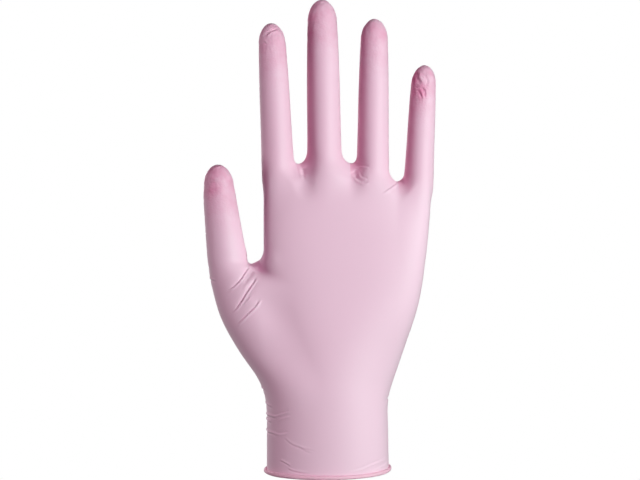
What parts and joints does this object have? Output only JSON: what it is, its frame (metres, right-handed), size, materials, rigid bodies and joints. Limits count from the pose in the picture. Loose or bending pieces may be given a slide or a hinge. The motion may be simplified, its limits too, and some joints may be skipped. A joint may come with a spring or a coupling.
{
  "type": "nitrile exam glove",
  "caption": "Thin dipped exam glove in the shape of an upright open hand, hollow to the fingertips, with a rolled bead round the mouth of its short cuff.",
  "frame": {"origin": "middle of the glove's mouth, in the plane of the bead's lower side", "axes": "+Z from the mouth to the fingertips, -X to the thumb, -Y to the side with the deeper folds, which the picture shows"},
  "size_m": [0.1182, 0.0474, 0.2397],
  "materials": {
    "nitrile": "satin, faintly textured pale pink film, deeper pink at the fingertips and the rolled edge"
  },
  "bodies": {
    "root": {"glove_film": "nitrile"}
  },
  "joints": []
}
